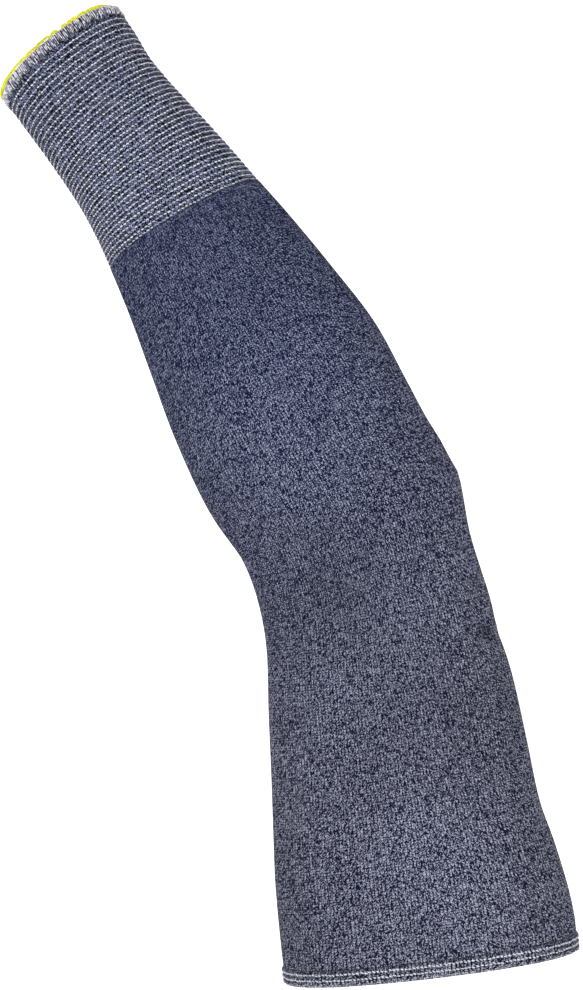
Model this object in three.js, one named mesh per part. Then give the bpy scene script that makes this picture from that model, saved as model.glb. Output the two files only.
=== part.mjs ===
// A knitted cut-resistant sleeve, in the form that it takes on a slightly bent arm.
// Millimetres, +Z up. The origin is the centre of the wide upper-arm mouth. +X is the
// side of the elbow's point, -X the side of its crook, and -Y the front of the sleeve.
// Every piece is a closed loop of points (place along the arm, stand off the skin)
// that is carried once round the arm.

import * as THREE from 'three';
import { ParametricGeometry } from 'three/addons/geometries/ParametricGeometry.js';
import { mergeVertices } from 'three/addons/utils/BufferGeometryUtils.js';

// Lengths along the arm's middle line
const sleeveLength = 450;
const cuffLength = 100;
const hemDepth = 7;
const bindingReach = 4.6;

// Widths of the worn sleeve, from the crook's side to the elbow's side
const hemWidth = 130;
const elbowWidth = 98;
const forearmWidth = 105;
const seamWidth = 75;
const wristWidth = 64;
const rimWidth = 66;

// Walls and yarns
const bodyWall = 1.5;
const cuffWall = 1.8;
const cuffEdgeWall = 0.8;
const bindingWall = 0.8;
const edgeYarnDiameter = 1.1;
const hemRise = 1.0;
const hemInnerRise = 0.3;
const hemTopEase = 0.6;
const bindingEase = 0.3;

// Ribs of the cuff: one for each elastic course, drawn wider apart towards the rim
const ribPitch = 2.53;
const ribRelief = 0.5;
const ribSpread = 0.26;

// Space between a piece and the next
const gap = 0.3;

// Lean of the arm towards the crook's side at the mouth, and the bends at the upper arm,
// the elbow and the wrist, each with the shares of the sleeve's length that it runs between
const mouthLeanDegrees = 6.8;
const bends = [
  { degrees: 2, fromShare: 0, toShare: 0.12 },
  { degrees: 21.5, fromShare: 0.29, toShare: 0.57 },
  { degrees: 8.5, fromShare: 0.76, toShare: 0.9 },
];

// Tilt of the arm towards its far side: slight at the mouth, gone by the elbow, and
// growing to the wrist
const mouthTiltDegrees = 2;
const tilts = [
  { degrees: -2, fromShare: 0, toShare: 0.45 },
  { degrees: 12, fromShare: 0.5, toShare: 1 },
];

// Sections of the arm: how far the skin stands from the middle line on the crook's
// side, on the elbow's side, and to the front and back, as shares of the named width,
// and how much fuller than an ellipse the section is between those sides
const sections = [
  { at: 0.0, width: hemWidth, crook: 0.493, elbow: 0.502, deep: 0.375, fuller: 0.05 },
  { at: 0.033, width: hemWidth, crook: 0.494, elbow: 0.505, deep: 0.372, fuller: 0.05 },
  { at: 0.1, width: hemWidth, crook: 0.484, elbow: 0.474, deep: 0.36, fuller: 0.04 },
  { at: 0.14, width: hemWidth, crook: 0.469, elbow: 0.447, deep: 0.354, fuller: 0.03 },
  { at: 0.2, width: hemWidth, crook: 0.444, elbow: 0.435, deep: 0.345, fuller: 0.02 },
  { at: 0.267, width: hemWidth, crook: 0.418, elbow: 0.42, deep: 0.333, fuller: 0.02 },
  { at: 0.333, width: elbowWidth, crook: 0.518, elbow: 0.52, deep: 0.43, fuller: 0.02 },
  { at: 0.4, width: elbowWidth, crook: 0.51, elbow: 0.493, deep: 0.42, fuller: 0.02 },
  { at: 0.433, width: elbowWidth, crook: 0.515, elbow: 0.518, deep: 0.421, fuller: 0.02 },
  { at: 0.45, width: elbowWidth, crook: 0.521, elbow: 0.532, deep: 0.422, fuller: 0.02 },
  { at: 0.467, width: forearmWidth, crook: 0.499, elbow: 0.488, deep: 0.395, fuller: 0.02 },
  { at: 0.5, width: forearmWidth, crook: 0.52, elbow: 0.469, deep: 0.393, fuller: 0.02 },
  { at: 0.533, width: forearmWidth, crook: 0.524, elbow: 0.469, deep: 0.39, fuller: 0.02 },
  { at: 0.6, width: forearmWidth, crook: 0.496, elbow: 0.477, deep: 0.378, fuller: 0.02 },
  { at: 0.667, width: forearmWidth, crook: 0.446, elbow: 0.441, deep: 0.345, fuller: 0.02 },
  { at: 0.733, width: seamWidth, crook: 0.555, elbow: 0.555, deep: 0.43, fuller: 0.02 },
  { at: 0.8, width: seamWidth, crook: 0.504, elbow: 0.48, deep: 0.388, fuller: 0.02 },
  { at: 0.867, width: wristWidth, crook: 0.544, elbow: 0.503, deep: 0.41, fuller: 0.02 },
  { at: 0.933, width: wristWidth, crook: 0.514, elbow: 0.486, deep: 0.382, fuller: 0.02 },
  { at: 0.967, width: rimWidth, crook: 0.489, elbow: 0.502, deep: 0.373, fuller: 0.02 },
  { at: 1.0, width: rimWidth, crook: 0.478, elbow: 0.518, deep: 0.376, fuller: 0.02 },
];

// Hollows in the skin. Place and length are shares of the sleeve's length, depth is a
// share of the elbow's width, and around, spread and slant are degrees: round the arm
// from the elbow's side over the front, and gained from one end of the sleeve to the other
const hollows = [
  { at: 0.39, around: 117, slant: 130, depth: 0.036, length: 0.09, spread: 25 },
  { at: 0.313, around: 15, slant: 0, depth: 0.01, length: 0.02, spread: 30 },
  { at: 0.17, around: 60, slant: -90, depth: 0.012, length: 0.07, spread: 22 },
  { at: 0.56, around: 62, slant: 60, depth: 0.012, length: 0.06, spread: 20 },
];

// Fineness of the faceted surfaces
const aroundSteps = 36;
const bodyRows = 26;
const cuffLiningRows = 6;
const walkSteps = 450;

// Places along the arm that the pieces share
const seamPlace = sleeveLength - cuffLength;
const edgeYarnPlace = sleeveLength - edgeYarnDiameter / 2;
const bindingTop = sleeveLength - edgeYarnDiameter - gap;
const bindingLow = bindingTop - bindingReach;
const cuffShoulder = bindingLow - gap;
const cuffTop = bindingTop - bindingWall - gap;

const { degToRad, lerp, smoothstep } = THREE.MathUtils;

// A turn in radians at a share of the sleeve's length: the turn at the mouth, and what
// is reached there of each bend or tilt
function turnAt(at, mouthDegrees, turns) {
  return turns.reduce(
    (turn, { degrees, fromShare, toShare }) =>
      turn + degToRad(degrees) * smoothstep(at, fromShare, toShare),
    degToRad(mouthDegrees),
  );
}

const leanAt = (at) => turnAt(at, mouthLeanDegrees, bends);
const tiltAt = (at) => turnAt(at, mouthTiltDegrees, tilts);

// The arm's direction at a share of the sleeve's length
function headingAt(at) {
  const lean = leanAt(at);
  const tilt = tiltAt(at);
  return new THREE.Vector3(
    -Math.sin(lean) * Math.cos(tilt),
    Math.sin(tilt),
    Math.cos(lean) * Math.cos(tilt),
  );
}

// The arm's middle line, walked from the upper-arm mouth in short even steps
function walkArm() {
  const place = new THREE.Vector3();
  return Array.from({ length: walkSteps + 1 }, (_, step) => {
    const here = place.clone();
    place.addScaledVector(headingAt((step + 0.5) / walkSteps), sleeveLength / walkSteps);
    return here;
  });
}

const middleLine = walkArm();

function middleAt(s) {
  const walked = (s / sleeveLength) * walkSteps;
  const step = Math.min(Math.floor(walked), walkSteps - 1);
  return middleLine[step].clone().lerp(middleLine[step + 1], walked - step);
}

// The three half widths and the fullness of the section at any share of the length
const sectionShape = new THREE.CubicInterpolant(
  sections.map(({ at }) => at),
  sections.flatMap(({ width, crook, elbow, deep, fuller }) => [
    width * crook,
    width * elbow,
    width * deep,
    fuller,
  ]),
  4,
);

// How deep the hollows lie at a place on the skin
function hollowDepth(at, angle) {
  return hollows.reduce((sum, hollow) => {
    const along = (at - hollow.at) / hollow.length;
    const centre = degToRad(hollow.around + hollow.slant * (at - hollow.at));
    const turn = Math.atan2(Math.sin(angle - centre), Math.cos(angle - centre));
    const across = turn / degToRad(hollow.spread);
    return sum + elbowWidth * hollow.depth * Math.exp(-along * along - across * across);
  }, 0);
}

// A point that stands off the skin at a place along the arm and an angle round it
function skinPoint(s, angle, out) {
  const at = s / sleeveLength;
  const [crook, elbow, deep, fuller] = sectionShape.evaluate(at);
  const lean = leanAt(at);
  const towardsElbow = new THREE.Vector3(Math.cos(lean), 0, Math.sin(lean));
  const towardsFront = towardsElbow.clone().cross(headingAt(at));
  const stand = out - hollowDepth(at, angle);
  const side = Math.cos(angle) < 0 ? crook : elbow;
  const swell = 1 + fuller * Math.sin(2 * angle) ** 2;
  return middleAt(s)
    .addScaledVector(towardsElbow, (side * swell + stand) * Math.cos(angle))
    .addScaledVector(towardsFront, (deep * swell + stand) * Math.sin(angle));
}

// A loop of points (place, stand) carried once round the arm. The loop runs towards
// the rim on its outer side and back on its inner side
function carriedRound(loop) {
  const surface = (share, turn, target) => {
    const { x: s, y: out } = loop[Math.round(share * loop.length) % loop.length];
    target.copy(skinPoint(s, turn * 2 * Math.PI, out));
  };
  const surfaceGeometry = new ParametricGeometry(surface, loop.length, aroundSteps);
  surfaceGeometry.deleteAttribute('normal');
  surfaceGeometry.deleteAttribute('uv');
  const geometry = mergeVertices(surfaceGeometry);
  geometry.computeVertexNormals();
  return geometry;
}

// Evenly spaced points along one side of a wall
function wallSide(from, to, rows, out) {
  return Array.from(
    { length: rows + 1 },
    (_, row) => new THREE.Vector2(lerp(from, to, row / rows), out),
  );
}

// The plain knitted tube from the hem to the cuff
function bodyLoop() {
  const low = hemDepth + gap;
  const top = seamPlace - gap / 2;
  return [
    ...wallSide(low, top, bodyRows, 0),
    ...wallSide(top, low, bodyRows, -bodyWall),
  ];
}

// The crests and grooves of the cuff's ribs, from the seam to the binding
function ribPoints() {
  const low = seamPlace + gap / 2;
  const ribbedLength = cuffShoulder - low;
  const count = Math.max(1, Math.round(ribbedLength / ribPitch));
  return Array.from({ length: 2 * count + 1 }, (_, half) => {
    const share = half / (2 * count);
    const place = (share + (ribSpread * share ** 3) / 3) / (1 + ribSpread / 3);
    return new THREE.Vector2(low + ribbedLength * place, half % 2 === 0 ? 0 : -ribRelief);
  });
}

// The ribbed cuff, whose edge is pressed thin where the binding takes it in
function cuffLoop() {
  const edgeOut = -cuffWall / 2 + cuffEdgeWall / 2;
  const edgeIn = -cuffWall / 2 - cuffEdgeWall / 2;
  return [
    ...ribPoints(),
    new THREE.Vector2(cuffShoulder, edgeOut),
    new THREE.Vector2(cuffTop, edgeOut),
    new THREE.Vector2(cuffTop, edgeIn),
    new THREE.Vector2(cuffShoulder, edgeIn),
    ...wallSide(cuffShoulder, seamPlace + gap / 2, cuffLiningRows, -cuffWall),
  ];
}

// The overlocked binding, folded over the cuff's edge
function bindingLoop() {
  const middle = -cuffWall / 2;
  const inside = cuffEdgeWall / 2 + gap;
  const outside = inside + bindingWall;
  const innerTop = bindingTop - bindingWall;
  return [
    new THREE.Vector2(bindingLow, middle + outside),
    new THREE.Vector2(bindingTop - bindingEase, middle + outside),
    new THREE.Vector2(bindingTop, middle + outside - bindingEase),
    new THREE.Vector2(bindingTop, middle - outside + bindingEase),
    new THREE.Vector2(bindingTop - bindingEase, middle - outside),
    new THREE.Vector2(bindingLow, middle - outside),
    new THREE.Vector2(bindingLow, middle - inside),
    new THREE.Vector2(innerTop, middle - inside),
    new THREE.Vector2(innerTop, middle + inside),
    new THREE.Vector2(bindingLow, middle + inside),
  ];
}

// The coloured yarn that runs round the rim on top of the binding
function edgeYarnLoop() {
  const radius = edgeYarnDiameter / 2;
  const sides = 8;
  return new THREE.EllipseCurve(
    edgeYarnPlace, -cuffWall / 2, radius, radius, 0, 2 * Math.PI, true,
  ).getPoints(sides).slice(1);
}

// The turned hem: a double fold with a round edge at the mouth
function hemLoop() {
  const outer = hemRise;
  const inner = -bodyWall - hemInnerRise;
  const radius = (outer - inner) / 2;
  const fold = new THREE.Path();
  fold.moveTo(hemDepth - hemTopEase, outer);
  fold.lineTo(hemDepth, outer - hemTopEase);
  fold.lineTo(hemDepth, inner);
  fold.absarc(radius, inner + radius, radius, 1.5 * Math.PI, 0.5 * Math.PI, true);
  return fold.getPoints(3);
}

const knit = (color) => new THREE.MeshStandardMaterial({ color, roughness: 0.95, metalness: 0 });

function piece(name, loop, material) {
  const mesh = new THREE.Mesh(carriedRound(loop), material);
  mesh.name = name;
  return mesh;
}

const group = new THREE.Group();
group.add(
  piece('sleeve_body', bodyLoop(), knit('#5b5e6f')),
  piece('ribbed_cuff', cuffLoop(), knit('#61647a')),
  piece('hem_band', hemLoop(), knit('#565868')),
  piece('cuff_binding', bindingLoop(), knit('#c9c8cc')),
  piece('cuff_edge_yarn', edgeYarnLoop(), knit('#e6e11e')),
);

export default group;
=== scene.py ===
"""A knitted cut-resistant sleeve in the form that it takes on a slightly bent arm.

Each piece is a grid of points (place along the arm, angle round it, stand off the skin)
that one function carries onto the arm. Lengths are in millimetres until a mesh is made.
"""

import logging
import math
from dataclasses import dataclass
from enum import Enum

import bpy
import numpy as np
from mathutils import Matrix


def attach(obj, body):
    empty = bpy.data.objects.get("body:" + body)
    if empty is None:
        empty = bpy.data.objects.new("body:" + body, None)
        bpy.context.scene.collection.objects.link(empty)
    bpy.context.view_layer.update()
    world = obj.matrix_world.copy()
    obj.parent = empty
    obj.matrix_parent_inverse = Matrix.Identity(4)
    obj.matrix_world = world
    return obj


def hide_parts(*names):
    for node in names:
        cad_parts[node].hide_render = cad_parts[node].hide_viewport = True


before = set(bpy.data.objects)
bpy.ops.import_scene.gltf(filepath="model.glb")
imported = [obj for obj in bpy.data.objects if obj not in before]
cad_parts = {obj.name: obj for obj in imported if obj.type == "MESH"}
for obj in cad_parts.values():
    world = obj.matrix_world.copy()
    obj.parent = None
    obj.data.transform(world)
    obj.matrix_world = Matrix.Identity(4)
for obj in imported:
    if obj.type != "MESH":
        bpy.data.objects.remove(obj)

MM = 0.001
BODY = "root"
STITCH_MAP = "Stitches"
BAKE_MAP = "OFBake"
TURN = 2 * math.pi
# A yarn's share of its number on the stitch map, so that its seam keeps the number
GIRTH = 0.999

log = logging.getLogger("sleeve")


class Slot(Enum):
    """The record's material slots."""

    BODY = "body_knit"
    CUFF = "cuff_knit"
    HEM = "hem_knit"
    BINDING = "binding_thread"
    EDGE = "edge_yarn"


def linear(hex_colour: str) -> tuple[float, float, float, float]:
    """Turns an sRGB colour into the linear numbers that a shader takes.

    Each channel c is c / 12.92 up to 0.04045 and ((c + 0.055) / 1.055) ** 2.4 above.

    Args:
        hex_colour: six hex digits after a hash.

    Returns:
        Red, green, blue and an alpha of 1.
    """
    channels = [int(hex_colour[i:i + 2], 16) / 255 for i in (1, 3, 5)]
    turned = [c / 12.92 if c <= 0.04045 else ((c + 0.055) / 1.055) ** 2.4 for c in channels]
    return (*turned, 1.0)


def smooth(value: np.ndarray, low: float, high: float) -> np.ndarray:
    """Rises from 0 at low to 1 at high, as 3q² - 2q³ of the share q of the way.

    Args:
        value: where to work it out.
        low: where the rise starts.
        high: where it ends.

    Returns:
        The risen share at each value.
    """
    share = np.clip((value - low) / (high - low), 0, 1)
    return share * share * (3 - 2 * share)


@dataclass(frozen=True)
class Bend:
    """A turn of the arm, in degrees, between two shares of its length."""

    degrees: float
    start: float
    end: float


@dataclass(frozen=True)
class Section:
    """Half widths of the arm at a share of its length, as shares of a named width."""

    at: float
    width: float
    crook: float
    elbow: float
    deep: float
    fuller: float = 0.02


@dataclass(frozen=True)
class Hollow:
    """A dent in the skin: shares of the length, degrees round, depth in millimetres."""

    at: float
    around: float
    slant: float
    depth: float
    length: float
    spread: float


# Widths of the worn sleeve, wales and ribs round it, and the height of a course
HEM, ELBOW, FOREARM, SEAM, WRIST, RIM = 130.0, 98.0, 105.0, 75.0, 64.0, 66.0
WALES = 210
RIB_WALES = 105
COURSE = 1.1

SECTIONS = (
    Section(0.0, HEM, 0.493, 0.502, 0.375, 0.05),
    Section(0.033, HEM, 0.494, 0.505, 0.372, 0.05),
    Section(0.1, HEM, 0.484, 0.474, 0.36, 0.04),
    Section(0.14, HEM, 0.469, 0.447, 0.354, 0.03),
    Section(0.2, HEM, 0.444, 0.435, 0.345),
    Section(0.267, HEM, 0.418, 0.42, 0.333),
    Section(0.333, ELBOW, 0.518, 0.52, 0.43),
    Section(0.4, ELBOW, 0.51, 0.493, 0.42),
    Section(0.433, ELBOW, 0.515, 0.518, 0.421),
    Section(0.45, ELBOW, 0.521, 0.532, 0.422),
    Section(0.467, FOREARM, 0.499, 0.488, 0.395),
    Section(0.5, FOREARM, 0.52, 0.469, 0.393),
    Section(0.533, FOREARM, 0.524, 0.469, 0.39),
    Section(0.6, FOREARM, 0.496, 0.477, 0.378),
    Section(0.667, FOREARM, 0.446, 0.441, 0.345),
    Section(0.733, SEAM, 0.555, 0.555, 0.43),
    Section(0.8, SEAM, 0.504, 0.48, 0.388),
    Section(0.867, WRIST, 0.544, 0.503, 0.41),
    Section(0.933, WRIST, 0.514, 0.486, 0.382),
    Section(0.967, RIM, 0.489, 0.502, 0.373),
    Section(1.0, RIM, 0.478, 0.518, 0.376),
)

HOLLOWS = (
    Hollow(0.39, 117, 130, 3.53, 0.09, 25),
    Hollow(0.313, 15, 0, 0.98, 0.02, 30),
    Hollow(0.17, 60, -90, 1.18, 0.07, 22),
    Hollow(0.56, 62, 60, 1.18, 0.06, 20),
)

# Fine folds of the cloth, which lie on the main form: the pinched fold below the
# elbow's side with a roll above it, and the slack rolls beside it and under the crook
FOLDS = (
    Hollow(0.313, 24, 2400, 1.0, 0.004, 11),
    Hollow(0.3205, 14, 2400, -0.3, 0.004, 10),
    Hollow(0.462, 8, 200, 0.7, 0.01, 16),
    Hollow(0.3, 96, -160, 0.7, 0.06, 16),
    Hollow(0.5, 150, 90, 0.9, 0.05, 14),
    Hollow(0.44, 70, 60, 0.6, 0.05, 15),
)


@dataclass(frozen=True)
class Arm:
    """The worn form: a bent middle line with a section round it at each place."""

    length: float = 450.0
    mouth_lean: float = 6.8
    bends: tuple[Bend, ...] = (
        Bend(2, 0, 0.12),
        Bend(21.5, 0.29, 0.57),
        Bend(8.5, 0.76, 0.9),
    )
    mouth_tilt: float = 2.0
    tilts: tuple[Bend, ...] = (Bend(-2, 0, 0.45), Bend(12, 0.5, 1))
    steps: int = 450
    evenness: float = 0.073

    def turn(self, at: np.ndarray, mouth: float, bends: tuple[Bend, ...]) -> np.ndarray:
        """Adds up a turn: its degrees at the mouth and what is reached of each bend.

        Args:
            at: shares of the length.
            mouth: degrees at the mouth.
            bends: the bends that follow.

        Returns:
            The turn at each share, in radians.
        """
        reached = sum(bend.degrees * smooth(at, bend.start, bend.end) for bend in bends)
        return np.radians(mouth + reached)

    def heading(self, at: np.ndarray) -> np.ndarray:
        """The middle line's direction: (-sin lean cos tilt, sin tilt, cos lean cos tilt)."""
        lean = self.turn(at, self.mouth_lean, self.bends)
        tilt = self.turn(at, self.mouth_tilt, self.tilts)
        parts = (-np.sin(lean) * np.cos(tilt), np.sin(tilt), np.cos(lean) * np.cos(tilt))
        return np.stack(parts, -1)

    def middle(self, place: np.ndarray) -> np.ndarray:
        """The middle line: the sum of its headings over short even steps.

        Args:
            place: millimetres along the arm.

        Returns:
            Points, with x, y and z last.
        """
        marks = np.arange(self.steps + 1) / self.steps
        walked = self.heading((marks[:-1] + marks[1:]) / 2) * self.length / self.steps
        line = np.vstack([np.zeros(3), np.cumsum(walked, axis=0)])
        at = place / self.length
        return np.stack([np.interp(at, marks, line[:, axis]) for axis in range(3)], -1)

    def section(self, at: np.ndarray) -> np.ndarray:
        """Half widths and fullness: cubics whose slopes are the means of their neighbours'.

        Args:
            at: shares of the length.

        Returns:
            Crook, elbow and front half widths in millimetres, and fullness, last.
        """
        keys = np.array([s.at for s in SECTIONS])
        values = np.array([
            (s.width * s.crook, s.width * s.elbow, s.width * s.deep, s.fuller)
            for s in SECTIONS
        ])
        slopes = np.diff(values, axis=0) / np.diff(keys)[:, None]
        tangents = np.concatenate([slopes[:1], (slopes[:-1] + slopes[1:]) / 2, slopes[-1:]])
        left = np.clip(np.searchsorted(keys, at, side="right") - 1, 0, len(keys) - 2)
        span = (keys[left + 1] - keys[left])[..., None]
        t = (at - keys[left])[..., None] / span
        return (
            (1 + 2 * t) * (1 - t) ** 2 * values[left]
            + t * (1 - t) ** 2 * span * tangents[left]
            + t * t * (3 - 2 * t) * values[left + 1]
            + t * t * (t - 1) * span * tangents[left + 1]
        )

    def dents(self, at: np.ndarray, angle: np.ndarray, dents: tuple[Hollow, ...]) -> np.ndarray:
        """Depth of dents: each is a bell, exp(-along² - across²), round a slanting line.

        Args:
            at: shares of the length.
            angle: radians round the arm from the elbow's side over the front.
            dents: the dents to add up.

        Returns:
            Millimetres inwards.
        """
        depth = np.zeros(np.broadcast(at, angle).shape)
        for dent in dents:
            along = (at - dent.at) / dent.length
            off = angle - np.radians(dent.around + dent.slant * (at - dent.at))
            across = np.arctan2(np.sin(off), np.cos(off)) / math.radians(dent.spread)
            depth += dent.depth * np.exp(-along * along - across * across)
        return depth

    def skin(self, place: np.ndarray, angle: np.ndarray, out: np.ndarray) -> np.ndarray:
        """A point that stands off the skin: middle + across * cos angle + front * sin angle.

        Args:
            place: millimetres along the arm.
            angle: radians round the arm from the elbow's side over the front.
            out: millimetres off the skin.

        Returns:
            Points in millimetres, with x, y and z last.
        """
        place, angle, out = np.broadcast_arrays(place, angle, out)
        at = place / self.length
        crook, elbow, deep, fuller = np.moveaxis(self.section(at), -1, 0)
        lean = self.turn(at, self.mouth_lean, self.bends)
        across = np.stack([np.cos(lean), np.zeros_like(lean), np.sin(lean)], -1)
        front = np.cross(across, self.heading(at))
        stand = out - self.dents(at, angle, HOLLOWS) - self.dents(at, angle, FOLDS)
        side = np.where(np.cos(angle) < 0, crook, elbow)
        swell = 1 + fuller * np.sin(2 * angle) ** 2
        return (
            self.middle(place)
            + across * ((side * swell + stand) * np.cos(angle))[..., None]
            + front * ((deep * swell + stand) * np.sin(angle))[..., None]
        )

    def angle_of(self, share: np.ndarray) -> np.ndarray:
        """Angle at a share of the stitches round: turn + k sin 2 turn evens their widths."""
        turn = TURN * share
        return turn + self.evenness * np.sin(2 * turn)

    def reach(self, place: np.ndarray, angle: np.ndarray) -> np.ndarray:
        """Millimetres that a radian round the arm spans at a place, from a short chord."""
        chord = 0.01
        ends = self.skin(place, angle + chord, 0.0) - self.skin(place, angle - chord, 0.0)
        return np.linalg.norm(ends, axis=-1) / (2 * chord)


@dataclass
class Patch:
    """Equal grids of points that one mesh joins.

    points has the shape (count, rows, columns, 3), in millimetres. stitches holds the
    stitch map at the grid's corners, with one more row or column where it closes.
    cells says how many grids lie across and up the bake map.
    """

    points: np.ndarray
    stitches: np.ndarray
    rows_close: bool
    columns_close: bool
    cells: tuple[int, int] = (1, 1)
    margin: float = 0.03

    def faces(self) -> tuple[np.ndarray, np.ndarray]:
        """Corners of every square, as vertex numbers and as places in the corner maps.

        Returns:
            Two arrays of the shape (squares, 4).
        """
        count, rows, columns, _ = self.points.shape
        across = columns + self.columns_close
        row = np.arange(rows - 1 + self.rows_close)[None, :, None]
        column = np.arange(columns - 1 + self.columns_close)[None, None, :]
        grid = np.arange(count)[:, None, None]
        corners = ((0, 0), (0, 1), (1, 1), (1, 0))
        vertex = [
            (grid * rows + (row + r) % rows) * columns + (column + c) % columns
            for r, c in corners
        ]
        up = rows + self.rows_close
        place = [(grid * up + row + r) * across + column + c for r, c in corners]
        return np.stack(vertex, -1).reshape(-1, 4), np.stack(place, -1).reshape(-1, 4)

    def caps(self) -> tuple[np.ndarray, np.ndarray]:
        """The polygons that close the first and last rows of grids whose rows are open.

        Returns:
            Vertex numbers and corner places, of the shape (caps, columns).
        """
        count, rows, columns, _ = self.points.shape
        ring = np.arange(columns)[None, :]
        grid = np.arange(count)[:, None]
        first, last = grid * rows * columns, (grid * rows + rows - 1) * columns
        vertex = np.vstack([first + ring[:, ::-1], last + ring])
        across = columns + self.columns_close
        low, high = grid * rows * across, (grid * rows + rows - 1) * across
        return vertex, np.vstack([low + ring[:, ::-1], high + ring])

    def bake_map(self) -> np.ndarray:
        """Lays each grid in a cell of its own: cell corner + margin + share of the cell.

        Returns:
            Places on the unit square, for the corner maps.
        """
        count, up, across = self.stitches.shape[:3]
        wide, high = self.cells
        grid = np.arange(count)
        room = 1 - 2 * self.margin
        x = (grid % wide)[:, None, None] + self.margin + room * np.linspace(0, 1, across)
        y = (grid // wide)[:, None, None] + self.margin + room * np.linspace(0, 1, up)[:, None]
        return np.stack(np.broadcast_arrays(x / wide, y / high), -1)


def make_piece(
    name: str,
    patch: Patch,
    material: bpy.types.Material,
    replaced: tuple[str, ...] = (),
) -> bpy.types.Object:
    """Makes a mesh of a patch, in metres, and sets it in the frame.

    The faces are turned round if the signed volume, the sum of a . (b x c) / 6 over
    their triangles, is negative.

    Args:
        name: the piece's name.
        patch: its grids.
        material: its finish.
        replaced: the model's nodes that it stands for.

    Returns:
        The piece, which rides on the sleeve's one body.
    """
    points = patch.points.reshape(-1, 3) * MM
    faces, places = patch.faces()
    a, b, c, d = (points[faces[:, corner]] for corner in range(4))
    volume = np.einsum("ij,ij->", a, np.cross(b, c)) + np.einsum("ij,ij->", a, np.cross(c, d))
    lists, spots = [faces], [places]
    if not patch.rows_close:
        cap_faces, cap_places = patch.caps()
        lists.append(cap_faces)
        spots.append(cap_places)
    if volume < 0:
        lists = [part[:, ::-1] for part in lists]
        spots = [part[:, ::-1] for part in spots]
    mesh = bpy.data.meshes.new(name)
    mesh.from_pydata(points.tolist(), [], [face for part in lists for face in part.tolist()])
    corner = np.concatenate([part.ravel() for part in spots])
    for title, spread in ((STITCH_MAP, patch.stitches), (BAKE_MAP, patch.bake_map())):
        layer = mesh.uv_layers.new(name=title)
        layer.uv.foreach_set("vector", spread.reshape(-1, 2)[corner].astype(np.float32).ravel())
    mesh.uv_layers.active = mesh.uv_layers[STITCH_MAP]
    mesh.polygons.foreach_set("use_smooth", np.ones(len(mesh.polygons), bool))
    mesh.materials.append(material)
    mesh.update()
    piece = bpy.data.objects.new(name, mesh)
    bpy.context.scene.collection.objects.link(piece)
    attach(piece, BODY)
    if replaced:
        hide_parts(*replaced)
    triangles = sum(len(part) * (part.shape[1] - 2) for part in lists)
    log.info("%s: %d triangles", name, triangles)
    return piece


class Shader:
    """A material's node tree, filled by one function."""

    def __init__(self, name: str) -> None:
        """Starts an empty material under its name."""
        self.material = bpy.data.materials.new(name)
        self.material.use_nodes = True
        self.tree = self.material.node_tree
        self.tree.nodes.clear()

    def add(
        self,
        kind: str,
        *inputs: object,
        ports: dict[str | int, object] | None = None,
        out: str | int = 0,
        **settings: object,
    ) -> bpy.types.NodeSocket:
        """Adds a node, sets it and fills its inputs with numbers, colours or sockets.

        Args:
            kind: the node's type without its first words.
            inputs: values or sockets for the first inputs; None leaves one as it is.
            ports: values or sockets by the input's name or number.
            out: the output to give back.
            settings: the node's own settings.

        Returns:
            One output of the node, or its first input if it has no output.
        """
        node = self.tree.nodes.new("ShaderNode" + kind)
        for key, value in settings.items():
            setattr(node, key, value)
        for key, value in {**dict(enumerate(inputs)), **(ports or {})}.items():
            if isinstance(value, bpy.types.NodeSocket):
                self.tree.links.new(value, node.inputs[key])
            elif value is not None:
                node.inputs[key].default_value = value
        return node.outputs[out] if node.outputs else node.inputs[0]


@dataclass(frozen=True)
class PaintedLight:
    """A spot of painted light or painted shade: its middle and reach in millimetres, and the
    factor on the colour.
    """

    place: tuple[float, float, float]
    reach: tuple[float, float, float]
    light: float


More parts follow.
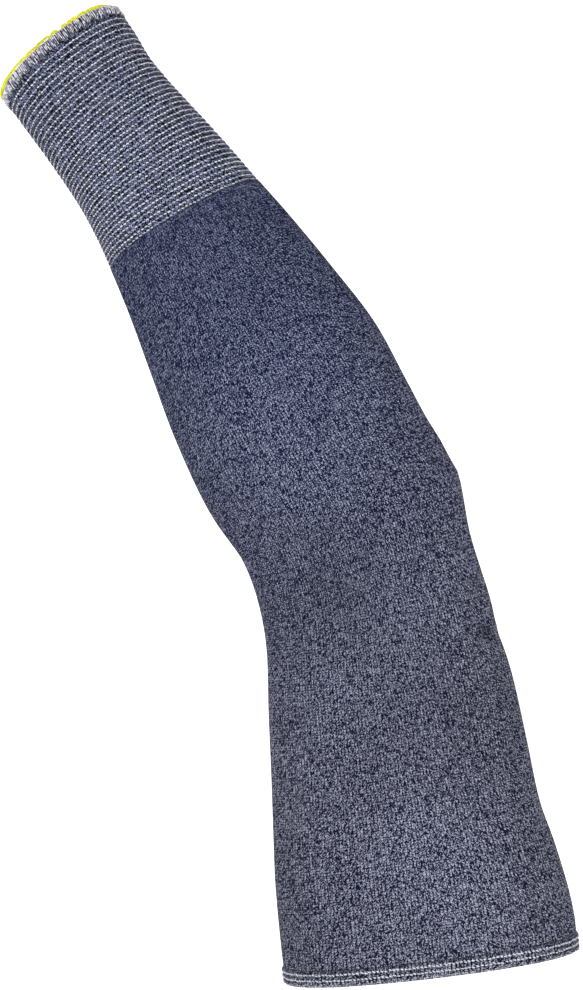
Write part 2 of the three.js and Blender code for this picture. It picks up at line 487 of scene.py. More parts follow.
@dataclass(frozen=True)
class MelangeKnit:
    """Plain or ribbed knit of engineered yarn: dark and pale fibres spun together.

    The yarn's two plies show as pale flecks on navy, one or two to a stitch, so the
    cloth reads as a salt-and-pepper blue. Its surface is matt and slightly hairy.
    """

    name: str
    deep: str
    deep_low: str
    pale: str
    pale_low: str
    share: float = 0.33
    share_low: float = 0.38
    drift_way: tuple[float, float, float] = (-0.6, 0.0, 1.0)
    drift_high: float = 0.38
    drift_low: float = 0.08
    slope: float = 0.55
    leg_cells: tuple[float, float, float] = (2.0, 2.0, 1.0)
    fleck_cells: tuple[float, float, float] = (4.0, 2.0, 1.0)
    fleck_part: float = 0.82
    leg_seed_step: float = 50.0
    fibre_edge: float = 1.06
    cloud_scale: float = 14.0
    cloud_part: float = 0.12
    soften: float = 0.22
    lit_top: float = 1.3
    side_floor: float = 0.25
    side_part: float = 0.5
    row_floor: float = 0.15
    stitch_depth: float = 0.25
    bump_strength: float = 0.55
    hollow_shade: float = 0.05
    roughness: float = 0.86
    specular: float = 0.1
    sheen: float = 0.03
    sheen_roughness: float = 0.5
    painted_lights: tuple[PaintedLight, ...] = ()
    seed: float = 3.0

    def material(self) -> bpy.types.Material:
        """Builds the finish from the stitch map, whose units are wales and courses.

        A stitch is two legs that rise outwards from the wale's middle. Across a leg the
        yarn is round, 4f(1 - f) of the share f of the course. How pale it is comes from
        one random number for each ply of a leg and one for each fleck, a quarter wale
        wide and half a course long. The colour carries painted shade in the gaps between
        the yarns and a painted highlight on their tops. Each spot of painted light or
        painted shade scales the colour by a smooth step of the distance from its middle,
        as a share of its reach.

        Returns:
            The material.
        """
        t = Shader(self.name)
        spot = t.add("UVMap", uv_map=STITCH_MAP)
        wale = t.add("SeparateXYZ", spot, out=0)
        course = t.add("SeparateXYZ", spot, out=1)
        inward = t.add("Math", wale, 0.5, operation="PINGPONG")
        inward = t.add("Math", inward, 2.0, operation="MULTIPLY")
        raised = t.add("Math", inward, self.slope, course, operation="MULTIPLY_ADD")
        f = t.add("Math", raised, operation="FRACT")
        rest = t.add("Math", 1.0, f, operation="SUBTRACT")
        round_yarn = t.add("Math", f, rest, operation="MULTIPLY")
        round_yarn = t.add("MapRange", round_yarn, 0.0, 0.25, self.row_floor, 1.0)
        side = t.add("MapRange", inward, 0.0, self.side_part, self.side_floor, 1.0)
        height = t.add("Math", round_yarn, side, operation="MULTIPLY")

        along = t.add("CombineXYZ", wale, raised, self.seed)
        legs = t.add("VectorMath", along, self.leg_cells, operation="MULTIPLY")
        legs = t.add("VectorMath", legs, (0.0, 0.0, self.leg_seed_step), operation="ADD")
        legs = t.add("VectorMath", legs, operation="FLOOR")
        by_leg = t.add("TexWhiteNoise", legs, noise_dimensions="3D")
        flecks = t.add("VectorMath", along, self.fleck_cells, operation="MULTIPLY")
        flecks = t.add("VectorMath", flecks, operation="FLOOR")
        by_fleck = t.add("TexWhiteNoise", flecks, noise_dimensions="3D")
        mixed = t.add("Math", by_leg, 1.0 - self.fleck_part, operation="MULTIPLY")
        mixed = t.add("Math", by_fleck, self.fleck_part, mixed, operation="MULTIPLY_ADD")

        place = t.add("TexCoord", out="Object")
        drift = t.add("VectorMath", place, self.drift_way, operation="DOT_PRODUCT", out="Value")
        low = t.add(
            "MapRange", drift, self.drift_high, self.drift_low, 0.0, 1.0,
            interpolation_type="SMOOTHSTEP",
        )
        cloudy = t.add(
            "TexNoise", ports={"Vector": place, "Scale": self.cloud_scale, "Detail": 1.0},
        )
        share = t.add("MapRange", low, 0.0, 1.0, self.share, self.share_low)
        share = t.add("Math", cloudy, self.cloud_part, share, operation="MULTIPLY_ADD")
        edge = t.add("Math", self.fibre_edge, share, operation="SUBTRACT")
        above = t.add("Math", mixed, edge, operation="SUBTRACT")
        paleness = t.add("MapRange", above, -self.soften, self.soften, 0.0, 1.0)

        dark = t.add(
            "Mix", low, ports={6: linear(self.deep), 7: linear(self.deep_low)},
            out=2, data_type="RGBA",
        )
        pale = t.add(
            "Mix", low, ports={6: linear(self.pale), 7: linear(self.pale_low)},
            out=2, data_type="RGBA",
        )
        yarn = t.add("Mix", paleness, ports={6: dark, 7: pale}, out=2, data_type="RGBA")
        # Painted shade and highlight: the colour is darker in the gaps between yarns and brighter
        # on their tops
        lit = t.add("MapRange", height, 0.0, 1.0, self.hollow_shade, self.lit_top)
        # Painted light and shade: each spot brightens or darkens the colour round its middle
        for painted_spot in self.painted_lights:
            away = t.add("VectorMath", place, [-v * MM for v in painted_spot.place], operation="ADD")
            away = t.add("VectorMath", away, [v * MM for v in painted_spot.reach], operation="DIVIDE")
            away = t.add("VectorMath", away, operation="LENGTH", out="Value")
            light = t.add(
                "MapRange", away, 0.0, 1.0, painted_spot.light, 1.0, interpolation_type="SMOOTHSTEP",
            )
            lit = t.add("Math", lit, light, operation="MULTIPLY")
        colour = t.add("VectorMath", yarn, ports={3: lit}, operation="SCALE")

        normal = t.add(
            "Bump", self.bump_strength, self.stitch_depth * MM, ports={"Height": height},
        )
        shader = t.add(
            "BsdfPrincipled",
            ports={
                "Base Color": colour,
                "Roughness": self.roughness,
                "Specular IOR Level": self.specular,
                "Sheen Weight": self.sheen,
                "Sheen Roughness": self.sheen_roughness,
                "Normal": normal,
            },
        )
        t.add("OutputMaterial", shader)
        return t.material


@dataclass(frozen=True)
class Thread:
    """Spun or covered yarn laid bare: two plies that wind round each other.

    Each strand has its own lightness, and the plies show as fine slanting shade. The
    filaments give a soft gleam and a faint fuzz.
    """

    name: str
    bright: str
    dull: str
    ply_length: float = 1.0
    roughness: float = 0.6
    specular: float = 0.35
    sheen: float = 0.15
    dull_part: float = 0.1
    bright_part: float = 0.85
    ply_shade: float = 0.86
    seed: float = 1.0

    def material(self) -> bpy.types.Material:
        """Builds the finish: lightness by strand, shade by the twist's phase.

        Returns:
            The material.
        """
        t = Shader(self.name)
        spot = t.add("UVMap", uv_map=STITCH_MAP)
        strand = t.add("SeparateXYZ", spot, out=0)
        along = t.add("SeparateXYZ", spot, out=1)
        number = t.add("Math", strand, operation="FLOOR")
        wound = t.add("Math", along, self.ply_length, operation="DIVIDE")
        wound = t.add("Math", strand, 1.0, wound, operation="MULTIPLY_ADD")
        phase = t.add("Math", wound, TURN, operation="MULTIPLY")
        wave = t.add("Math", phase, operation="SINE")
        length = t.add("Math", along, operation="FLOOR")
        cell = t.add("CombineXYZ", number, length, self.seed)
        by_strand = t.add("TexWhiteNoise", cell, noise_dimensions="3D")
        lightness = t.add(
            "MapRange", by_strand, self.dull_part, self.bright_part, 0.0, 1.0,
        )
        colour = t.add(
            "Mix", lightness, ports={6: linear(self.dull), 7: linear(self.bright)},
            out=2, data_type="RGBA",
        )
        shade = t.add("MapRange", wave, -1.0, 1.0, self.ply_shade, 1.0)
        colour = t.add("VectorMath", colour, ports={3: shade}, operation="SCALE")
        shader = t.add(
            "BsdfPrincipled",
            ports={
                "Base Color": colour,
                "Roughness": self.roughness,
                "Specular IOR Level": self.specular,
                "Sheen Weight": self.sheen,
            },
        )
        t.add("OutputMaterial", shader)
        return t.material


def ring_patch(
    arm: Arm, loop: np.ndarray, shares: np.ndarray, relief: np.ndarray, stitches: np.ndarray,
) -> Patch:
    """Carries a loop of (place, stand) once round the arm.

    Args:
        arm: the form.
        loop: places and stands, of the shape (points, 2).
        shares: shares of the way round, one for each column.
        relief: millimetres added to the stand, of the shape (points, columns).
        stitches: course number of each point of the loop, with the first repeated last.

    Returns:
        One grid that closes both ways, with wales and courses as its stitch map.
    """
    points = arm.skin(loop[:, :1], arm.angle_of(shares)[None, :], loop[:, 1:] + relief)
    wales = np.append(shares, 1.0) * WALES
    spread = np.stack(np.broadcast_arrays(wales[None, :], stitches[:, None]), -1)
    return Patch(points[None], spread[None], True, True, margin=0.004)


def rounded_wall(
    low: float, high: float, outer: float, inner: float, places: np.ndarray, lining: int,
    soften: float = 0.35, margin: float = 1.5,
) -> np.ndarray:
    """A wall's loop: its outer side up, a rounded edge, its inner side down and an edge.

    Args:
        low: lower end along the arm.
        high: upper end.
        outer: stand of the outer side.
        inner: stand of the inner side.
        places: where the outer side has its rows, between the two ends.
        lining: rows of the inner side.
        soften: how far each edge's round reaches along the arm.
        margin: how far the inner side's rows keep from the ends.

    Returns:
        Places and stands, of the shape (points, 2).
    """
    radius = (outer - inner) / 2
    centre = (outer + inner) / 2
    turned = np.linspace(0, math.pi, 5)
    reach, stand = soften * np.sin(turned), radius * np.cos(turned)
    top = np.stack([high - soften + reach, centre + stand], 1)
    base = np.stack([low + soften - reach, centre - stand], 1)
    up = np.stack([places, np.full_like(places, outer)], 1)
    back = np.linspace(high - margin, low + margin, lining)
    down = np.stack([back, np.full_like(back, inner)], 1)
    return np.vstack([up, top, down, base])


@dataclass(frozen=True)
class BodyKnit:
    """The plain knitted tube from the hem to the cuff."""

    arm: Arm
    low: float = 7.15
    high: float = 349.95
    wall: float = 1.5
    rows: int = 80
    fold_rows: int = 18
    fold_low: float = 8.0
    fold_high: float = 10.0
    end_margin: float = 0.8
    lining_rows: int = 14
    wale_relief: float = 0.17
    per_wale: int = 4

    def places(self) -> np.ndarray:
        """Rows up the outer side, even but closer together where the pinched fold is."""
        fold = self.arm.length * FOLDS[0].at
        near = np.linspace(fold - self.fold_low, fold + self.fold_high, self.fold_rows)
        low, high = self.low + self.end_margin, self.high - self.end_margin
        even = np.linspace(low, high, self.rows)
        half = (self.fold_low + self.fold_high) / 2 + 0.5
        middle = fold + (self.fold_high - self.fold_low) / 2
        return np.unique(np.concatenate([even[abs(even - middle) > half], near]))

    def build(self, finish: MelangeKnit) -> None:
        """Makes the tube, with a ridge of cos(wale) along each column of stitches.

        Args:
            finish: its knit.
        """
        places = self.places()
        loop = rounded_wall(self.low, self.high, 0.0, -self.wall, places, self.lining_rows)
        shares = np.arange(WALES * self.per_wale) / (WALES * self.per_wale)
        ridge = -self.wale_relief * np.cos(TURN * WALES * shares)
        outside = (np.arange(len(loop)) < len(places))[:, None]
        courses = np.append(loop[:, 0], loop[0, 0]) / COURSE
        patch = ring_patch(self.arm, loop, shares, ridge[None, :] * outside, courses)
        make_piece("body_knit", patch, finish.material(), ("sleeve_body",))


@dataclass(frozen=True)
class RibbedCuff:
    """The cuff: a rib for each elastic course, wider apart towards the rim."""

    arm: Arm
    low: float = 350.15
    shoulder: float = 443.7
    top: float = 447.5
    ribs: int = 37
    spread: float = 0.26
    relief: float = 0.5
    wall: float = 1.8
    edge_wall: float = 0.8
    rows_per_rib: int = 6
    lining_rows: int = 8
    per_rib_wale: int = 4
    wale_relief: float = 0.16
    courses_per_rib: int = 3
    yarn_radius: float = 0.32
    yarn_thin: float = 0.7
    yarn_low: float = -0.42
    yarn_rise: float = 0.56
    dash_phase: float = 0.25
    dash_part: float = 0.68
    dash_edge: float = 0.75
    dash_lift: tuple[float, float] = (0.8, 1.1)
    dash_stray: float = 0.1
    dash_slant: float = 0.12
    side_sink: float = 0.1
    seam_sink: float = 0.15
    yarn_steps: int = 6
    yarn_sides: int = 4
    seed: int = 11

    def place_of(self, share: np.ndarray) -> np.ndarray:
        """Place of a share of the ribs: low + length * (q + k q³ / 3) / (1 + k / 3)."""
        length = self.shoulder - self.low
        return self.low + length * (share + self.spread * share**3 / 3) / (1 + self.spread / 3)

    def build_cloth(self, finish: MelangeKnit) -> None:
        """Makes the ribbed cloth: grooves of (1 - cos) / 2 between the courses.

        Args:
            finish: its knit.
        """
        q = np.linspace(0, 1, self.ribs * self.rows_per_rib + 1)
        groove = -self.relief * (0.5 - 0.5 * np.cos(TURN * self.ribs * q))
        ribbed = np.stack([self.place_of(q), groove], 1)
        middle, half = -self.wall / 2, self.edge_wall / 2
        back = np.linspace(self.shoulder, self.low, self.lining_rows)
        tongue = np.array([
            (self.shoulder + 0.2, middle + half),
            (self.top, middle + half),
            (self.top, middle - half),
            (self.shoulder + 0.2, middle - half),
        ])
        lining = np.stack([back, np.full_like(back, -self.wall)], 1)
        loop = np.vstack([ribbed, tongue, lining])
        columns = RIB_WALES * self.per_rib_wale
        shares = np.arange(columns) / columns
        ridge = self.wale_relief * np.sin(TURN * RIB_WALES * shares)
        outside = (np.arange(len(loop)) < len(ribbed))[:, None]
        courses = np.interp(loop[:, 0], ribbed[:, 0], q * self.ribs * self.courses_per_rib)
        courses = np.append(courses, courses[0])
        patch = ring_patch(self.arm, loop, shares, ridge[None, :] * outside, courses)
        make_piece("cuff_knit", patch, finish.material(), ("ribbed_cuff",))

    def build_courses(self, finish: Thread) -> None:
        """Lays the elastic yarn on each crest, where it rises over every second wale.

        The yarn's stand is a raised cosine of the wale's share, and its round section
        is r cos, r sin of the turn about that path.

        Args:
            finish: the yarn.
        """
        rng = np.random.default_rng(self.seed)
        count, periods = self.ribs, RIB_WALES
        columns = periods * self.yarn_steps
        share = np.arange(columns) / columns
        phase = share * periods - self.dash_phase
        rise = np.clip(self.dash_part + self.dash_edge * np.cos(TURN * phase), 0, 1)
        dash = np.floor(phase + 0.5).astype(int) % periods
        sunk = self.side_sink * np.cos(self.arm.angle_of(share)) ** 4
        lift = rng.uniform(*self.dash_lift, (count, periods))[:, dash]
        stray = rng.normal(0, self.dash_stray, (count, periods))[:, dash] * rise
        slant = self.dash_slant * np.sin(TURN * phase) * rise
        place = self.place_of(np.arange(count) / self.ribs)
        place = np.clip(place, self.low + 0.3, self.shoulder - 0.35)
        radius = self.yarn_radius * (self.yarn_thin + (1 - self.yarn_thin) * rise)
        stand = self.yarn_low + self.yarn_rise * rise * lift - sunk
        stand[0] -= self.seam_sink
        sides = np.arange(self.yarn_sides) / self.yarn_sides * TURN
        s = place[:, None, None] + (stray + slant)[:, None, :]
        s = s + radius * np.cos(sides)[None, :, None]
        out = stand[:, None, :] + radius * np.sin(sides)[None, :, None]
        points = self.arm.skin(s, self.arm.angle_of(share)[None, None, :], out)
        steps = np.arange(columns + 1) / self.yarn_steps + self.dash_phase
        around = np.arange(self.yarn_sides + 1) / self.yarn_sides * GIRTH
        row = np.arange(count)[:, None, None]
        spread = np.broadcast_arrays(steps[None, None, :], row + around[None, :, None])
        patch = Patch(points, np.stack(spread, -1), True, True, (1, count))
        make_piece("elastic_courses", patch, finish.material())

    def build(self, cloth: MelangeKnit, yarn: Thread) -> None:
        """Makes the ribbed cloth and its elastic courses."""
        self.build_cloth(cloth)
        self.build_courses(yarn)


@dataclass(frozen=True)
class CuffBinding:
    """The overlocked edge: whip strands over a core, and the coloured rim yarn."""

    arm: Arm
    low: float = 444.0
    top: float = 448.55
    middle: float = -0.9
    inside: float = 0.75
    outside: float = 1.2
    strands: int = 226
    strand_radius: float = 0.27
    strand_gap: float = 0.18
    strand_thin: float = 0.55
    strand_flat: float = 0.8
    bend_from: float = 0.42
    bend_to: float = 0.75
    foot_range: tuple[float, float] = (-0.8, 0.5)
    bulge: float = 0.12
    stand_spread: float = 0.07
    end_sink: float = 0.3
    end_lift: float = 0.32
    lean: float = 0.3
    wander: float = 0.14
    strand_steps: int = 12
    strand_sides: int = 5
    yarn_place: float = 449.55
    yarn_radius: float = 0.82
    yarn_stand: float = 0.75
    yarn_turns: int = 96
    yarn_steps: int = 8
    yarn_sides: int = 7
    ply_circle: float = 0.45
    ply_girth: float = 0.68
    dip_in: float = 0.7
    wavers: tuple[tuple[float, int], ...] = ((0.16, 9), (0.12, 37))
    yarn_dips: tuple[tuple[float, float, float], ...] = (
        (0.325, 0.004, 0.6),
        (0.285, 0.004, 0.5),
        (0.241, 0.005, 0.8),
        (0.213, 0.007, 1.3),
        (0.19, 0.004, 0.6),
        (0.16, 0.005, 0.6),
        (0.135, 0.004, 0.7),
        (0.035, 0.048, 1.4),
    )
    seed: int = 23

    def build_core(self, finish: MelangeKnit) -> None:
        """Makes the folded core that the strands lie on: a U over the cuff's edge.

        Args:
            finish: its knit.
        """
        fold = np.linspace(0, math.pi, 7)
        over = self.top - self.outside + self.outside * np.sin(fold)
        under = self.top - self.outside + self.inside * np.sin(fold)
        outer = np.stack([over, self.middle + self.outside * np.cos(fold)], 1)
        inner = np.stack([under, self.middle + self.inside * np.cos(fold)], 1)
        foot = self.low + np.array([0.1, 1.2])
        walls = (self.outside, -self.outside, -self.inside, self.inside)
        rise, drop, back_rise, back_drop = (
            np.stack([foot[::way], np.full(2, self.middle + wall)], 1)
            for wall, way in zip(walls, (1, -1, 1, -1))
        )
        loop = np.vstack([rise, outer, drop, back_rise, inner[::-1], back_drop])
        shares = np.arange(WALES * 2) / (WALES * 2)
        courses = np.append(np.arange(len(loop)), len(loop)) * 0.8
        relief = np.zeros((len(loop), len(shares)))
        patch = ring_patch(self.arm, loop, shares, relief, courses)
        make_piece("binding_core", patch, finish.material(), ("cuff_binding",))

    def build_strands(self, finish: Thread) -> None:
        """Lays a strand over the edge at each stitch, leaning and ending unevenly.

        A strand's path goes up the outside, over the fold as a half circle and down the
        inside. Its section is an ellipse in the plane across the path.

        Args:
            finish: the thread.
        """
        rng = np.random.default_rng(self.seed)
        count = self.strands
        t = np.linspace(0, 1, self.strand_steps)
        stand = self.outside + self.strand_gap
        length = self.top - self.outside - self.low
        fold = np.clip((t - self.bend_from) / (self.bend_to - self.bend_from), 0, 1) * math.pi
        rising = t < self.bend_from
        rise = np.clip(t / self.bend_from, 0, 1)
        fall = np.clip((t - self.bend_to) / (1 - self.bend_to), 0, 1)
        foot = rng.uniform(*self.foot_range, count)[:, None]
        up = self.low + foot * (1 - rise) + length * rise
        over = self.top - self.outside + stand * np.sin(fold) - length * fall
        s = np.where(rising, up, over)
        out = self.middle + stand * np.cos(fold)
        out = out + self.bulge * np.sin(math.pi * rise) * rising
        out = out + rng.normal(0, self.stand_spread, (count, 1))
        ends = self.end_lift * (smooth(t, 0.0, 0.1) - smooth(t, 0.92, 1.0)) - self.end_sink
        out = out + ends * np.sign(np.cos(fold) + 1e-6)
        lean = rng.normal(self.lean, self.lean, (count, 1)) * (0.5 - rise)
        wander = rng.normal(0, self.wander, (count, 1))
        share = (np.arange(count)[:, None] + lean + wander) / count
        angle = self.arm.angle_of(share)
        span = self.arm.reach(s, angle)
        swell = np.sin(math.pi * np.clip(t, 0.06, 0.94)) ** 0.5
        radius = self.strand_radius * (self.strand_thin + (1 - self.strand_thin) * swell)
        sides = np.arange(self.strand_sides) / self.strand_sides * TURN
        wide = radius[None, :, None] * np.cos(sides)
        high = radius[None, :, None] * self.strand_flat * np.sin(sides)
        tip = fold[None, :, None]
        points = self.arm.skin(
            s[..., None] + high * np.sin(tip),
            angle[..., None] + wide / span[..., None],
            out[..., None] + high * np.cos(tip),
        )
        number = np.arange(count)[:, None, None]
        around = np.arange(self.strand_sides + 1) / self.strand_sides * GIRTH
        spread = np.broadcast_arrays(number + around[None, None, :], t[None, :, None] * 9)
        cells = (18, math.ceil(count / 18))
        patch = Patch(points, np.stack(spread, -1), False, True, cells)
        make_piece("whip_strands", patch, finish.material())

    def build_rim_yarn(self, finish: Thread) -> None:
        """Twists two plies round the rim: each circles the path half a turn apart.

        The path wavers and dips in under the strands: a dip is
        depth * exp(-(off / width)²) along the arm and 0.7 of that inwards.

        Args:
            finish: the yarn.
        """
        columns = self.yarn_turns * self.yarn_steps
        share = np.arange(columns) / columns
        sides = np.arange(self.yarn_sides) / self.yarn_sides * TURN
        waver = sum(size * np.sin(TURN * turns * share) for size, turns in self.wavers)
        dip = sum(d * np.exp(-((share - at) / width) ** 2) for at, width, d in self.yarn_dips)
        plies = np.array([0.0, math.pi])[:, None, None]
        twist = TURN * self.yarn_turns * share + plies
        core = self.yarn_radius * self.ply_circle
        s = self.yarn_place + waver - dip + core * np.cos(twist)
        out = self.middle + self.yarn_stand - self.dip_in * dip + core * np.sin(twist)
        girth = self.yarn_radius * self.ply_girth
        points = self.arm.skin(
            s + girth * np.cos(sides)[None, :, None],
            self.arm.angle_of(share)[None, None, :],
            out + girth * np.sin(sides)[None, :, None],
        )
        number = np.arange(2)[:, None, None]
        around = np.arange(self.yarn_sides + 1) / self.yarn_sides * GIRTH
        steps = np.arange(columns + 1) / self.yarn_steps
        spread = np.broadcast_arrays(number + around[None, :, None], steps[None, None, :])
        patch = Patch(points, np.stack(spread, -1), True, True, (1, 2))
        make_piece("rim_yarn", patch, finish.material(), ("cuff_edge_yarn",))

    def build(self, core: MelangeKnit, thread: Thread, yarn: Thread) -> None:
        """Makes the core, the strands over it and the rim yarn."""
        self.build_core(core)
        self.build_strands(thread)
        self.build_rim_yarn(yarn)


@dataclass(frozen=True)
class HemBand:
    """The turned hem: a double fold with two rows of white stitches."""

    arm: Arm
    depth: float = 7.0
    inner: float = -1.8
    per_wale: int = 4
    wale_relief: float = 0.12
    top_row: float = 5.5
    low_row: float = 3.0
    stitch_long: float = 0.78
    stitch_wide: float = 0.32
    seed: int = 37

    def loop(self) -> np.ndarray:
        """The fold's outline: two soft rolls outside, a round edge and a flat inside."""
        outside = np.array([
            (self.depth, 0.1),
            (self.depth - 0.25, 0.5),
            (self.depth - 0.8, 0.85),
            (self.depth - 1.5, 0.8),
            (4.7, 0.62),
            (4.0, 0.75),
            (3.2, 0.9),
            (2.4, 0.72),
            (1.9, 0.8),
        ])
        turned = np.linspace(0, math.pi, 11)
        radius = (0.92 - self.inner) / 2
        stand = self.inner + radius + radius * np.cos(turned)
        edge = np.stack([1.4 - 1.4 * np.sin(turned), stand], 1)
        inside = np.array([(3.0, self.inner), (5.0, self.inner), (self.depth, self.inner)])
        lid = np.array([(self.depth + 0.1, -1.2), (self.depth + 0.1, -0.4)])
        return np.vstack([outside, edge, inside, lid])

    def build_cloth(self, finish: MelangeKnit) -> None:
        """Makes the folded band, ridged along its wales on the outside.

        Args:
            finish: its knit.
        """
        loop = self.loop()
        shares = np.arange(WALES * self.per_wale) / (WALES * self.per_wale)
        shown = (loop[:, 1] > -0.5)[:, None] & (loop[:, :1] < self.depth)
        ridge = -self.wale_relief * np.cos(TURN * WALES * shares)[None, :] * shown
        walked = np.cumsum(np.hypot(*np.diff(loop, axis=0, append=loop[:1]).T))
        courses = np.concatenate([[0.0], walked]) / COURSE
        patch = ring_patch(self.arm, loop, shares, ridge, courses)
        make_piece("hem_knit", patch, finish.material(), ("hem_band",))

    def stitches(
        self, name: str, finish: Thread, rows: tuple[tuple[float, float], ...],
        half_long: float, half_wide: float, slant: float, per_wale: int, jitter: float,
    ) -> None:
        """Sets rows of small yarn humps round the hem: half ellipsoids that lie askew.

        Args:
            name: the piece's name.
            finish: its thread.
            rows: place and stand of each row.
            half_long: half length of a hump.
            half_wide: half width and height.
            slant: turn of a hump out of its row, in radians.
            per_wale: humps to a wale.
            jitter: spread of places and turns, as a share.
        """
        rng = np.random.default_rng(self.seed)
        per_row = WALES * per_wale
        count = per_row * len(rows)
        place = np.repeat([row[0] for row in rows], per_row) + rng.normal(0, 0.12 * jitter, count)
        stand = np.repeat([row[1] for row in rows], per_row) + rng.normal(0, 0.06 * jitter, count)
        step = np.tile(np.arange(per_row), len(rows)) + 0.5 + rng.normal(0, 0.06, count)
        share = step / per_row
        angle = self.arm.angle_of(share)
        turned = slant + rng.normal(0, 0.18 * jitter, count)
        size = rng.uniform(0.85, 1.12, count)
        ring = np.linspace(-0.93, 0.93, 6)
        sides = np.arange(6) / 6 * TURN
        along = (half_long * size)[:, None, None] * ring[None, :, None]
        girth = half_wide * np.sqrt(1 - ring**2)[None, :, None]
        across = girth * np.cos(sides)
        high = girth * np.sin(sides)
        co, si = np.cos(turned)[:, None, None], np.sin(turned)[:, None, None]
        span = self.arm.reach(place, angle)[:, None, None]
        points = self.arm.skin(
            place[:, None, None] + along * si + across * co,
            angle[:, None, None] + (along * co - across * si) / span,
            stand[:, None, None] + high,
        )
        number = np.arange(count)[:, None, None]
        around = np.arange(7) / 7
        spread = np.broadcast_arrays(number + around[None, None, :], ring[None, :, None] + 1)
        wide = 30 * per_wale
        patch = Patch(points, np.stack(spread, -1), False, True, (wide, math.ceil(count / wide)))
        make_piece(name, patch, finish.material())

    def build(self, cloth: MelangeKnit, white: Thread, melange: Thread) -> None:
        """Makes the band, its two white rows and the loops on its rolled edge."""
        self.build_cloth(cloth)
        rows = ((self.top_row, 0.95), (self.low_row, 0.98))
        self.stitches("hem_stitches", white, rows, self.stitch_long, self.stitch_wide, 0.3, 1, 1)
        edge = ((0.85, 0.75), (0.2, 0.15))
        self.stitches("hem_edge_loops", melange, edge, 0.55, 0.32, 1.1, 2, 2)


@dataclass(frozen=True)
class Lamp:
    """A square softbox: its place and side in millimetres, and its power in watts."""

    name: str
    place: tuple[float, float, float]
    size: float
    power: float


@dataclass(frozen=True)
class Studio:
    """A pale sweep, soft lamps and the camera that looks level at the sleeve."""

    camera_place: tuple[float, float, float] = (-61.16, -1300.0, 207.24)
    view_height: float = 437.18
    sensor: float = 36.0
    floor: float = -70.0
    sweep_back: float = 4400.0
    sweep_radius: float = 700.0
    sweep_front: float = -1500.0
    sweep_half_width: float = 1500.0
    sweep_top: float = 2200.0
    glow_from: float = -60.0
    glow_to: float = 345.0
    glow: float = 0.95
    card: str = "#f4f4f4"
    lamps: tuple[Lamp, ...] = (
        Lamp("key_softbox", (-120.0, -1900.0, 300.0), 900.0, 37.0),
        Lamp("fill_softbox", (700.0, -1500.0, 1300.0), 1200.0, 2.0),
        Lamp("left_back_softbox", (-1500.0, 1500.0, 700.0), 1200.0, 16.0),
        Lamp("right_back_softbox", (1400.0, 1500.0, 500.0), 1200.0, 16.0),
    )
    ambient: float = 0.13

    def build_camera(self) -> None:
        """Places the camera: the lens is sensor / 2 * distance / (view height / 2)."""
        data = bpy.data.cameras.new("camera")
        data.sensor_fit = "AUTO"
        data.sensor_width = self.sensor
        data.lens = self.sensor * -self.camera_place[1] / self.view_height
        data.dof.use_dof = False
        data.clip_end = 50.0
        camera = bpy.data.objects.new("camera", data)
        camera.location = [value * MM for value in self.camera_place]
        camera.rotation_euler = (math.pi / 2, 0, 0)
        bpy.context.scene.collection.objects.link(camera)
        bpy.context.scene.camera = camera

    def build_sweep(self) -> None:
        """Makes the floor, which curves up into a backdrop as a quarter circle.

        Behind the sleeve the card is lit through, so that it reads as plain white.
        """
        turned = np.linspace(0, math.pi / 2, 25)
        y = self.sweep_back - self.sweep_radius + self.sweep_radius * np.sin(turned)
        z = self.floor + self.sweep_radius - self.sweep_radius * np.cos(turned)
        y = np.concatenate([[self.sweep_front], y, [self.sweep_back]])
        z = np.concatenate([[self.floor], z, [self.sweep_top]])
        x = np.array([-1, 1]) * self.sweep_half_width
        grid = np.stack(np.broadcast_arrays(x[None, :], y[:, None], z[:, None]), -1)
        rows = np.arange(len(y) - 1)[:, None] * 2
        faces = rows + np.array([[0, 1, 3, 2]])
        mesh = bpy.data.meshes.new("sweep")
        mesh.from_pydata((grid.reshape(-1, 3) * MM).tolist(), [], faces.tolist())
        mesh.polygons.foreach_set("use_smooth", np.ones(len(faces), bool))
        t = Shader("Matt white background card")
        back = t.add("SeparateXYZ", t.add("TexCoord", out="Object"), out=1)
        glow = t.add(
            "MapRange", back, self.glow_from * MM, self.glow_to * MM, 0.0, self.glow,
            interpolation_type="SMOOTHSTEP",
        )
        shader = t.add(
            "BsdfPrincipled",
            ports={
                "Base Color": linear(self.card),
                "Roughness": 1.0,
                "Specular IOR Level": 0.0,
                "Emission Color": (1.0, 1.0, 1.0, 1.0),
                "Emission Strength": glow,
            },
        )
        t.add("OutputMaterial", shader)
        mesh.materials.append(t.material)
        sweep = bpy.data.objects.new("sweep", mesh)
        bpy.context.scene.collection.objects.link(sweep)

    def build_lamps(self) -> None:
        """Hangs the softboxes, each turned to the sleeve's middle, and the pale air."""
        target = np.array([self.camera_place[0], 0.0, self.camera_place[2]])
        for lamp in self.lamps:
            data = bpy.data.lights.new(lamp.name, "AREA")
            data.shape = "SQUARE"
            data.size = lamp.size * MM
            data.energy = lamp.power
            hung = bpy.data.objects.new(lamp.name, data)
            hung.location = [value * MM for value in lamp.place]
            away = np.array(lamp.place) - target
            flat = math.hypot(away[0], away[1])
            hung.rotation_euler = (math.atan2(flat, away[2]), 0, math.atan2(away[0], -away[1]))
            bpy.context.scene.collection.objects.link(hung)
        world = bpy.data.worlds.new("pale_air")
        world.use_nodes = True
        air = world.node_tree.nodes["Background"]
        air.inputs["Color"].default_value = (1.0, 1.0, 1.0, 1.0)
        air.inputs["Strength"].default_value = self.ambient
        bpy.context.scene.world = world

    def build(self) -> None:
        """Sets up the view: plain tones, the camera, the sweep and the lamps."""
        bpy.context.scene.view_settings.view_transform = "Standard"
        self.build_camera()
        self.build_sweep()
        self.build_lamps()


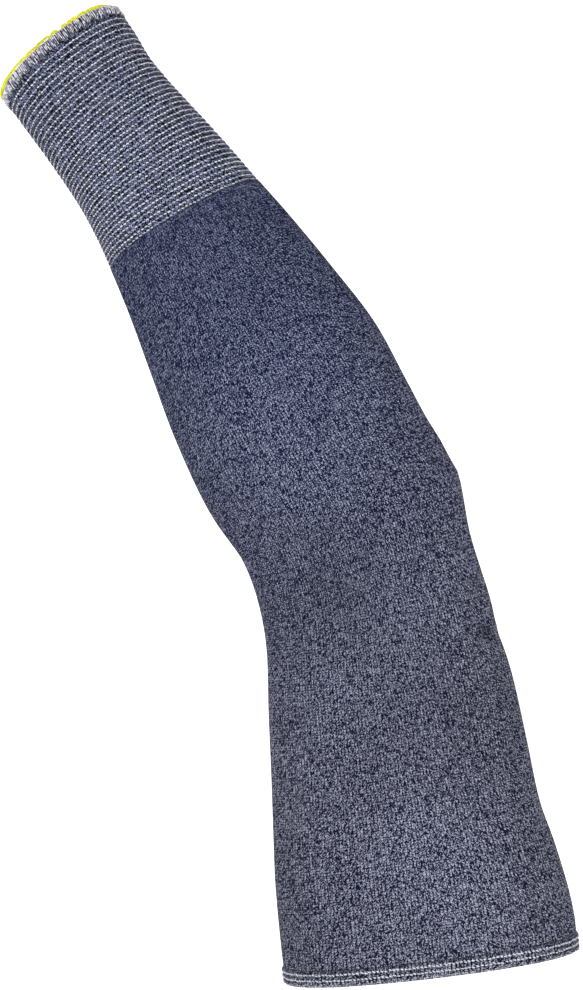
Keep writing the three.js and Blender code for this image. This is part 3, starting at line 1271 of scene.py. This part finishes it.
BODY_KNIT = MelangeKnit(
    "Melange jersey knit of cut-resistant yarn", "#0c153c", "#0f1230", "#868da8", "#a2a5ba",
    # Painted light and shade: a painted shadow in the pinched fold below the elbow, painted shade
    # in the crook's hollow and across the middle, painted light on the forearm's front and low on
    # the front
    painted_lights=(
        PaintedLight((23.0, -16.0, 147.6), (13.0, 15.0, 6.5), 0.55),
        PaintedLight((-48.0, -35.0, 165.0), (42.0, 60.0, 48.0), 0.76),
        PaintedLight((-58.0, -38.0, 248.0), (60.0, 90.0, 75.0), 1.17),
        PaintedLight((6.0, -30.0, 112.0), (72.0, 90.0, 58.0), 0.88),
        PaintedLight((2.0, -40.0, 54.0), (50.0, 90.0, 58.0), 1.2),
    ),
    lit_top=1.26, seed=4.0,
)
CUFF_KNIT = MelangeKnit(
    "Rib knit of cut-resistant yarn", "#06081a", "#06081a", "#a6aed0", "#a6aed0",
    share=0.31, share_low=0.31, fleck_cells=(2.0, 3.0, 1.0), soften=0.13,
    side_floor=0.0, row_floor=0.1, seed=5.0,
)
# The core is the cuff's navy knit, darkened far below its own colour as painted shade between and
# under the whip strands
CORE_KNIT = MelangeKnit(
    "Knit under the overlocking, darkened by painted shade", "#07080f", "#07080f", "#40435c", "#40435c",
    share=0.3, share_low=0.3, seed=7.0,
)
HEM_KNIT = MelangeKnit(
    "Folded melange knit of the hem", "#0d1024", "#0d1024", "#a9acc0", "#a9acc0",
    share=0.34, share_low=0.34, seed=9.0,
)
ELASTIC_YARN = Thread("Covered elastane yarn", "#fbfcff", "#b6bcdc", seed=2.0)
BINDING_THREAD = Thread(
    "Textured polyester overlock thread", "#ffffff", "#75739a", dull_part=0.15, seed=4.0,
)
RIM_YARN = Thread("Dyed acrylic rim yarn", "#eeea00", "#d6d200", seed=6.0)
HEM_THREAD = Thread("White polyester hem thread", "#f6f8ff", "#bcc1da", seed=8.0)
EDGE_LOOPS = Thread("Melange yarn at the hem's fold", "#d6d8e4", "#2a2d44", seed=10.0)


def main() -> None:
    """Builds the studio and the sleeve."""
    logging.basicConfig(level=logging.INFO, format="%(name)s %(message)s")
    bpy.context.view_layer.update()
    arm = Arm()
    Studio().build()
    BodyKnit(arm).build(BODY_KNIT)
    RibbedCuff(arm).build(CUFF_KNIT, ELASTIC_YARN)
    CuffBinding(arm).build(CORE_KNIT, BINDING_THREAD, RIM_YARN)
    HemBand(arm).build(HEM_KNIT, HEM_THREAD, EDGE_LOOPS)


if __name__ == "__main__":
    main()
